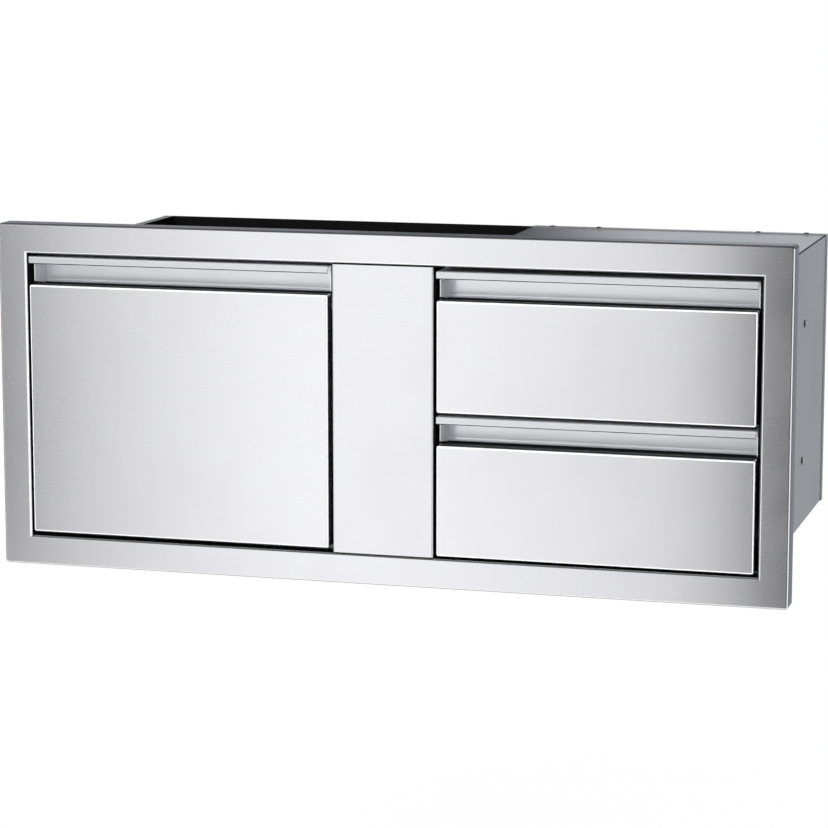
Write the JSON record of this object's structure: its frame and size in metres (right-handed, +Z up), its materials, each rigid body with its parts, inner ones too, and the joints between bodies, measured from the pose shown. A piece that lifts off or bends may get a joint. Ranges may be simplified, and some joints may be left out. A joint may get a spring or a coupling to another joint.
{
  "type": "built-in outdoor kitchen drawer unit",
  "caption": "Stainless built-in drawer unit: a deep drawer beside a stack of shallow drawers, recessed full-width pulls, a wide trim flange and telescopic slides.",
  "frame": {"origin": "middle of the trim frame's lower rear hem, on the plane where the flange seats against the enclosure", "axes": "+X to the right seen from the front, +Y back into the enclosure, +Z up; the drawers slide out along -Y"},
  "size_m": [1.124, 0.568, 0.487],
  "materials": {
    "brushed_steel": "brushed stainless steel, fine horizontal grain",
    "body_steel": "satin stainless sheet, lightly brushed",
    "dark_lining": "dark lined inner sheet",
    "drawer_steel": "satin stainless drawer sheet",
    "slide_zinc": "bright zinc-plated steel",
    "cage_steel": "bright zinc-plated thin steel with steel balls",
    "fastener_steel": "plain stainless fasteners",
    "rivet_black": "blackened steel rivets"
  },
  "bodies": {
    "unit": {"trim_frame": "brushed_steel", "mullion_panel": "brushed_steel", "mullion_brackets": "body_steel", "left_side_panel": "body_steel", "right_side_panel": "body_steel", "bay_divider": "body_steel", "slide_carrier_panel": "dark_lining", "top_panel": "body_steel", "front_rail": "body_steel", "bottom_panel": "body_steel", "rear_panel_left": "body_steel", "rear_panel_right": "body_steel", "body_rivets": "rivet_black", "slide_screws": "fastener_steel", "large_slide_cabinet_members": "slide_zinc", "upper_slide_cabinet_members": "slide_zinc", "lower_slide_cabinet_members": "slide_zinc"},
    "large_drawer": {"large_front_panel": "brushed_steel", "large_front_liner": "drawer_steel", "large_handle_channel": "brushed_steel", "large_handle_end_caps": "brushed_steel", "large_box_sides": "drawer_steel", "large_box_floor": "drawer_steel", "large_box_rear": "drawer_steel", "large_box_front": "drawer_steel", "large_box_screws": "fastener_steel", "large_slide_drawer_members": "slide_zinc"},
    "large_middle_members": {"large_slide_middle_members": "slide_zinc"},
    "large_outer_cages": {"large_outer_ball_cages": "cage_steel"},
    "large_inner_cages": {"large_inner_ball_cages": "cage_steel"},
    "upper_drawer": {"upper_front_panel": "brushed_steel", "upper_front_liner": "drawer_steel", "upper_handle_channel": "brushed_steel", "upper_handle_end_caps": "brushed_steel", "upper_box_sides": "drawer_steel", "upper_box_floor": "drawer_steel", "upper_box_rear": "drawer_steel", "upper_box_front": "drawer_steel", "upper_box_screws": "fastener_steel", "upper_slide_drawer_members": "slide_zinc"},
    "upper_middle_members": {"upper_slide_middle_members": "slide_zinc"},
    "upper_outer_cages": {"upper_outer_ball_cages": "cage_steel"},
    "upper_inner_cages": {"upper_inner_ball_cages": "cage_steel"},
    "lower_drawer": {"lower_front_panel": "brushed_steel", "lower_front_liner": "drawer_steel", "lower_handle_channel": "brushed_steel", "lower_handle_end_caps": "brushed_steel", "lower_box_sides": "drawer_steel", "lower_box_floor": "drawer_steel", "lower_box_rear": "drawer_steel", "lower_box_front": "drawer_steel", "lower_box_screws": "fastener_steel", "lower_slide_drawer_members": "slide_zinc"},
    "lower_middle_members": {"lower_slide_middle_members": "slide_zinc"},
    "lower_outer_cages": {"lower_outer_ball_cages": "cage_steel"},
    "lower_inner_cages": {"lower_inner_ball_cages": "cage_steel"}
  },
  "joints": [
    {"name": "large_slide", "type": "slide", "parent": "unit", "child": "large_drawer", "axis": [0, -1, 0], "range_m": [0, 0.457]},
    {"name": "large_middle_members_slide", "type": "slide", "parent": "unit", "child": "large_middle_members", "axis": [0, -1, 0], "range_m": [0, 0.2285]},
    {"name": "large_outer_cages_slide", "type": "slide", "parent": "unit", "child": "large_outer_cages", "axis": [0, -1, 0], "range_m": [0, 0.11425]},
    {"name": "large_inner_cages_slide", "type": "slide", "parent": "unit", "child": "large_inner_cages", "axis": [0, -1, 0], "range_m": [0, 0.34275]},
    {"name": "upper_slide", "type": "slide", "parent": "unit", "child": "upper_drawer", "axis": [0, -1, 0], "range_m": [0, 0.457]},
    {"name": "upper_middle_members_slide", "type": "slide", "parent": "unit", "child": "upper_middle_members", "axis": [0, -1, 0], "range_m": [0, 0.2285]},
    {"name": "upper_outer_cages_slide", "type": "slide", "parent": "unit", "child": "upper_outer_cages", "axis": [0, -1, 0], "range_m": [0, 0.11425]},
    {"name": "upper_inner_cages_slide", "type": "slide", "parent": "unit", "child": "upper_inner_cages", "axis": [0, -1, 0], "range_m": [0, 0.34275]},
    {"name": "lower_slide", "type": "slide", "parent": "unit", "child": "lower_drawer", "axis": [0, -1, 0], "range_m": [0, 0.457]},
    {"name": "lower_middle_members_slide", "type": "slide", "parent": "unit", "child": "lower_middle_members", "axis": [0, -1, 0], "range_m": [0, 0.2285]},
    {"name": "lower_outer_cages_slide", "type": "slide", "parent": "unit", "child": "lower_outer_cages", "axis": [0, -1, 0], "range_m": [0, 0.11425]},
    {"name": "lower_inner_cages_slide", "type": "slide", "parent": "unit", "child": "lower_inner_cages", "axis": [0, -1, 0], "range_m": [0, 0.34275]}
  ],
  "couplings": [
    {"joint": "large_middle_members_slide", "follows": "large_slide", "ratio": 0.5},
    {"joint": "large_outer_cages_slide", "follows": "large_slide", "ratio": 0.25},
    {"joint": "large_inner_cages_slide", "follows": "large_slide", "ratio": 0.75},
    {"joint": "upper_middle_members_slide", "follows": "upper_slide", "ratio": 0.5},
    {"joint": "upper_outer_cages_slide", "follows": "upper_slide", "ratio": 0.25},
    {"joint": "upper_inner_cages_slide", "follows": "upper_slide", "ratio": 0.75},
    {"joint": "lower_middle_members_slide", "follows": "lower_slide", "ratio": 0.5},
    {"joint": "lower_outer_cages_slide", "follows": "lower_slide", "ratio": 0.25},
    {"joint": "lower_inner_cages_slide", "follows": "lower_slide", "ratio": 0.75}
  ]
}
